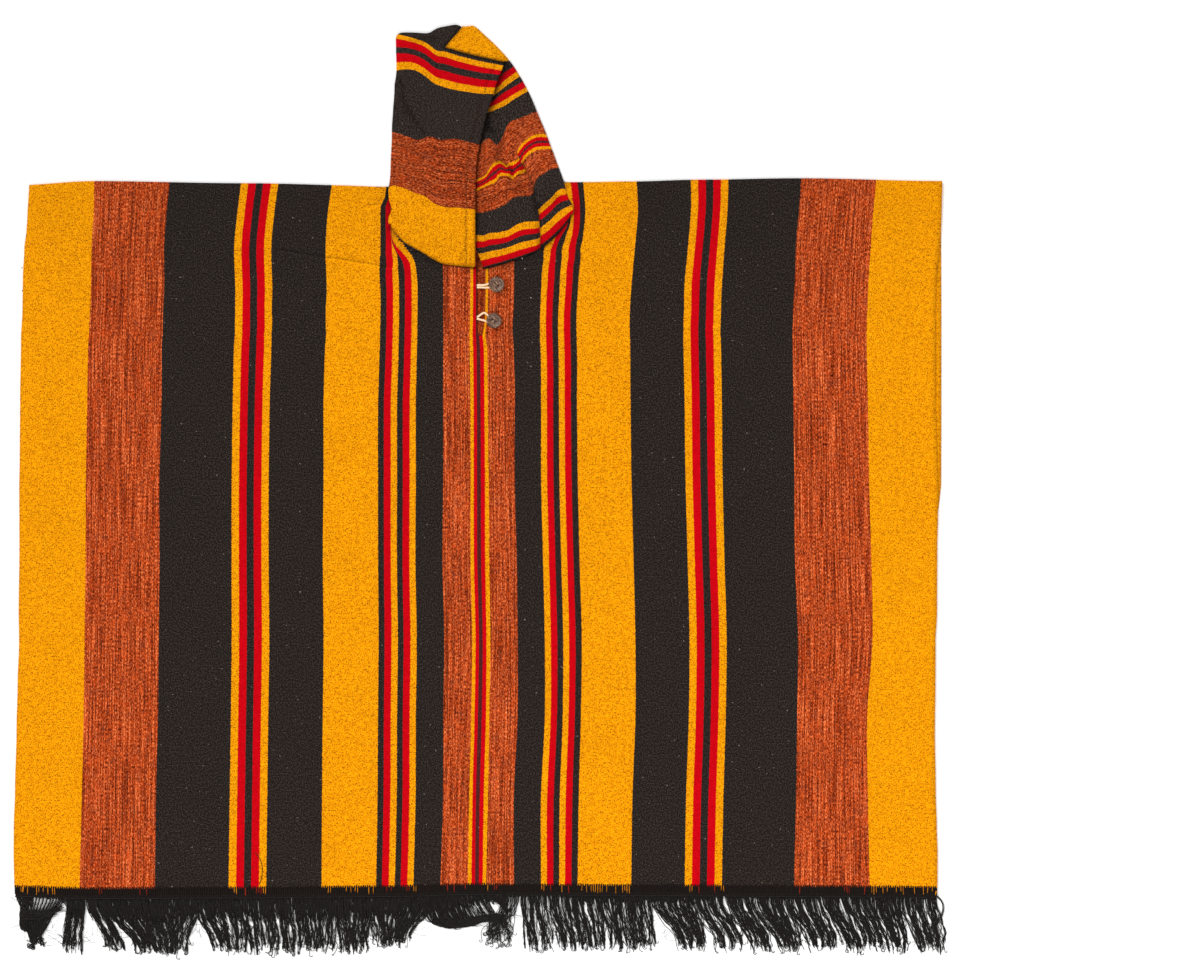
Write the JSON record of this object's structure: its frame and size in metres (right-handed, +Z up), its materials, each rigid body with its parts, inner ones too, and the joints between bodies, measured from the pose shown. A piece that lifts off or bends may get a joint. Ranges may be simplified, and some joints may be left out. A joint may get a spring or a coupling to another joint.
{
  "type": "hooded poncho (andean, striped, fringed), laid flat",
  "caption": "Hooded poncho in striped wool cloth, laid flat front up, with black fringed hems and a front slit closed by cord loops on coconut-shell buttons.",
  "frame": {"origin": "bottom centre of the bounding box, on the surface that the poncho lies on", "axes": "+X to the right of the front as it is seen from above, +Y from the hem towards the hood, +Z up from the surface"},
  "size_m": [1.304, 1.311, 0.0113],
  "materials": {
    "striped_cloth": "matt brushed wool weave, vertical stripes",
    "hood_cloth": "matt brushed wool weave, stripes across",
    "fringe_thread": "matt twisted thread",
    "coconut_shell": "satin, with fine pale grain",
    "loop_cord": "matt twisted cord"
  },
  "bodies": {
    "root": {"body": "striped_cloth", "hood_left": "hood_cloth", "hood_right": "hood_cloth", "fringe_front": "fringe_thread", "fringe_back": "fringe_thread", "button_upper": "coconut_shell", "button_lower": "coconut_shell", "loop_upper": "loop_cord", "loop_lower": "loop_cord"}
  },
  "joints": []
}
